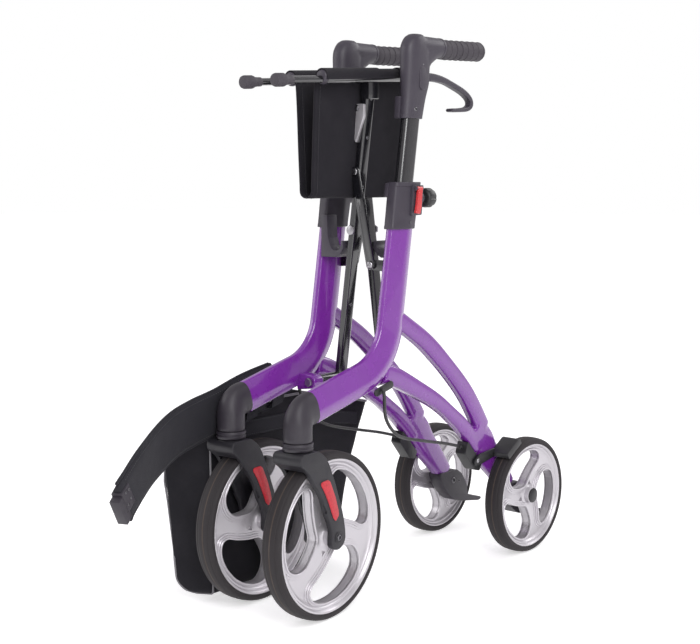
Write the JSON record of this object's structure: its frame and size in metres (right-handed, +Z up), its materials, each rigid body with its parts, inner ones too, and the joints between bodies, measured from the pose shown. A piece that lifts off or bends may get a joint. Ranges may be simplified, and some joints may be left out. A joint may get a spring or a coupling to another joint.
{
  "type": "folding rollator",
  "caption": "Walking aid with two side frames, crossed folding braces, swivel front and fixed rear wheels, height-adjustable brake handles, sling seat, bag and back band.",
  "frame": {"origin": "on the floor under the middle of the overall box, 24 mm to the right of the middle of the side frames", "axes": "+Z up; the user stands behind at +Y and faces -Y; the user's left is +X; the fold axes run along Y"},
  "size_m": [0.2916, 0.9332, 0.8811],
  "materials": {
    "frame_paint": "glossy violet paint",
    "charcoal_plastic": "satin charcoal plastic",
    "grip_rubber": "matt soft rubber",
    "tyre_rubber": "matt grey tyre",
    "rim_silver": "silver paint on plastic",
    "black_tube": "glossy black paint",
    "bolt_steel": "bright plated steel",
    "red_plastic": "red reflector plastic",
    "dark_fabric": "woven dark fabric",
    "cable_sheath": "black cable sheath"
  },
  "bodies": {
    "frame_left": {"frame_tube_left": "frame_paint", "rear_wishbone_left": "frame_paint", "rear_foot_left": "charcoal_plastic", "rear_axle_left": "charcoal_plastic", "caster_elbow_left": "charcoal_plastic", "brake_housing_left": "charcoal_plastic", "brake_cable_left": "cable_sheath", "cable_grommet_left": "charcoal_plastic", "sleeve_left": "charcoal_plastic"},
    "frame_right": {"frame_tube_right": "frame_paint", "rear_wishbone_right": "frame_paint", "rear_foot_right": "charcoal_plastic", "rear_axle_right": "charcoal_plastic", "caster_elbow_right": "charcoal_plastic", "brake_housing_right": "charcoal_plastic", "brake_cable_right": "cable_sheath", "cable_grommet_right": "charcoal_plastic", "sleeve_right": "charcoal_plastic", "backrest_band": "dark_fabric", "bag": "dark_fabric"},
    "brace_rear": {"brace_rear": "black_tube", "pivot_bolt": "bolt_steel", "seat_rail_right": "black_tube", "rail_rod_right": "grip_rubber"},
    "brace_front": {"brace_front": "black_tube", "seat_rail_left": "black_tube", "rail_rod_left": "grip_rubber"},
    "seat_left": {"seat_panel_left": "dark_fabric"},
    "link_left": {"link_arm_left": "black_tube"},
    "caster_left": {"fork_left": "charcoal_plastic", "fork_reflector_left": "red_plastic", "front_axle_left": "bolt_steel"},
    "front_wheel_left": {"front_rim_left": "rim_silver", "front_tyre_left": "tyre_rubber"},
    "rear_wheel_left": {"rear_rim_left": "rim_silver", "rear_tyre_left": "tyre_rubber"},
    "shoe_left": {"brake_shoe_left": "black_tube"},
    "knob_left": {"height_knob_left": "charcoal_plastic"},
    "latch_left": {"height_latch_left": "red_plastic"},
    "handle_left": {"inner_tube_left": "charcoal_plastic", "handle_casting_left": "charcoal_plastic", "grip_left": "grip_rubber"},
    "lever_left": {"brake_lever_left": "charcoal_plastic"},
    "seat_right": {"seat_panel_right": "dark_fabric"},
    "link_right": {"link_arm_right": "black_tube"},
    "caster_right": {"fork_right": "charcoal_plastic", "fork_reflector_right": "red_plastic", "front_axle_right": "bolt_steel"},
    "front_wheel_right": {"front_rim_right": "rim_silver", "front_tyre_right": "tyre_rubber"},
    "rear_wheel_right": {"rear_rim_right": "rim_silver", "rear_tyre_right": "tyre_rubber"},
    "shoe_right": {"brake_shoe_right": "black_tube"},
    "knob_right": {"height_knob_right": "charcoal_plastic"},
    "latch_right": {"height_latch_right": "red_plastic"},
    "handle_right": {"inner_tube_right": "charcoal_plastic", "handle_casting_right": "charcoal_plastic", "grip_right": "grip_rubber"},
    "lever_right": {"brake_lever_right": "charcoal_plastic"}
  },
  "joints": [
    {"name": "fold", "type": "hinge", "parent": "frame_left", "child": "brace_rear", "pos_m": [0.0557, 0.0677, 0.339], "axis": [0, -1, 0], "range_deg": [0, 55.4]},
    {"name": "brace_cross", "type": "hinge", "parent": "brace_rear", "child": "brace_front", "pos_m": [0.0237, 0.0677, 0.5765], "axis": [0, -1, 0], "range_deg": [-110.8, 0]},
    {"name": "right_foot", "type": "hinge", "parent": "brace_front", "child": "frame_right", "pos_m": [-0.0083, 0.0677, 0.339], "axis": [0, -1, 0], "range_deg": [0, 55.4]},
    {"name": "link_foot_left", "type": "hinge", "parent": "frame_left", "child": "link_left", "pos_m": [0.0677, 0.0677, 0.524], "axis": [0, -1, 0], "range_deg": [0, 91.19]},
    {"name": "link_foot_right", "type": "hinge", "parent": "frame_right", "child": "link_right", "pos_m": [-0.0203, 0.0677, 0.524], "axis": [0, -1, 0], "range_deg": [-91.19, 0]},
    {"name": "seat_flap_left", "type": "hinge", "parent": "brace_front", "child": "seat_left", "pos_m": [0.0557, 0.0677, 0.814], "axis": [0, -1, 0], "range_deg": [-10.36, 0]},
    {"name": "seat_flap_right", "type": "hinge", "parent": "brace_rear", "child": "seat_right", "pos_m": [-0.0083, 0.0677, 0.814], "axis": [0, -1, 0], "range_deg": [0, 10.36]},
    {"name": "caster_left", "type": "hinge", "parent": "frame_left", "child": "caster_left", "pos_m": [0.0937, -0.1823, 0.2663], "axis": [0, 0, 1], "range_deg": [-180, 3]},
    {"name": "front_wheel_left", "type": "hinge", "parent": "caster_left", "child": "front_wheel_left", "pos_m": [0.08906, -0.12198, 0.127], "axis": [0.9971, 0.0767, 0], "continuous": true},
    {"name": "rear_wheel_left", "type": "hinge", "parent": "frame_left", "child": "rear_wheel_left", "pos_m": [0.1247, 0.3651, 0.1015], "axis": [1, 0, 0], "continuous": true},
    {"name": "height_left", "type": "slide", "parent": "frame_left", "child": "handle_left", "axis": [0, 0.1561, 0.9877], "range_m": [-0.025, 0.095]},
    {"name": "brake_lever_left", "type": "hinge", "parent": "handle_left", "child": "lever_left", "pos_m": [0.0937, 0.1007, 0.815], "axis": [1, 0, 0], "range_deg": [0, 12], "stiffness_Nm_per_rad": 1.5, "springref_deg": -4.58},
    {"name": "brake_shoe_left", "type": "hinge", "parent": "frame_left", "child": "shoe_left", "pos_m": [0.0937, 0.2437, 0.18], "axis": [1, 0, 0], "range_deg": [-1, 0]},
    {"name": "height_knob_left", "type": "hinge", "parent": "frame_left", "child": "knob_left", "pos_m": [0.0937, 0.0967, 0.627], "axis": [0, 1, 0], "continuous": true},
    {"name": "height_latch_left", "type": "hinge", "parent": "frame_left", "child": "latch_left", "pos_m": [0.1172, 0.0707, 0.642], "axis": [0, -1, 0], "range_deg": [0, 35]},
    {"name": "caster_right", "type": "hinge", "parent": "frame_right", "child": "caster_right", "pos_m": [-0.0463, -0.1823, 0.2663], "axis": [0, 0, 1], "range_deg": [-3, 180], "deforming": ["bag"]},
    {"name": "front_wheel_right", "type": "hinge", "parent": "caster_right", "child": "front_wheel_right", "pos_m": [-0.05094, -0.12198, 0.127], "axis": [0.9971, 0.0767, 0], "continuous": true},
    {"name": "rear_wheel_right", "type": "hinge", "parent": "frame_right", "child": "rear_wheel_right", "pos_m": [-0.0773, 0.3651, 0.1015], "axis": [1, 0, 0], "continuous": true},
    {"name": "height_right", "type": "slide", "parent": "frame_right", "child": "handle_right", "axis": [0, 0.1561, 0.9877], "range_m": [-0.025, 0.095]},
    {"name": "brake_lever_right", "type": "hinge", "parent": "handle_right", "child": "lever_right", "pos_m": [-0.0463, 0.1007, 0.815], "axis": [1, 0, 0], "range_deg": [0, 12], "stiffness_Nm_per_rad": 1.5, "springref_deg": -4.58},
    {"name": "brake_shoe_right", "type": "hinge", "parent": "frame_right", "child": "shoe_right", "pos_m": [-0.0463, 0.2437, 0.18], "axis": [1, 0, 0], "range_deg": [-1, 0]},
    {"name": "height_knob_right", "type": "hinge", "parent": "frame_right", "child": "knob_right", "pos_m": [-0.0463, 0.0967, 0.627], "axis": [0, 1, 0], "continuous": true},
    {"name": "height_latch_right", "type": "hinge", "parent": "frame_right", "child": "latch_right", "pos_m": [-0.0698, 0.0707, 0.642], "axis": [0, 1, 0], "range_deg": [0, 35]}
  ],
  "couplings": [
    {"joint": "brace_cross", "follows": "fold", "ratio": -2},
    {"joint": "right_foot", "follows": "fold", "ratio": 1},
    {"joint": "link_foot_left", "follows": "fold", "ratio": 1.646},
    {"joint": "link_foot_right", "follows": "fold", "ratio": -1.646},
    {"joint": "seat_flap_left", "follows": "fold", "ratio": -0.187},
    {"joint": "seat_flap_right", "follows": "fold", "ratio": 0.187},
    {"joint": "brake_shoe_left", "follows": "brake_lever_left", "ratio": -0.083},
    {"joint": "brake_shoe_right", "follows": "brake_lever_right", "ratio": -0.083}
  ]
}
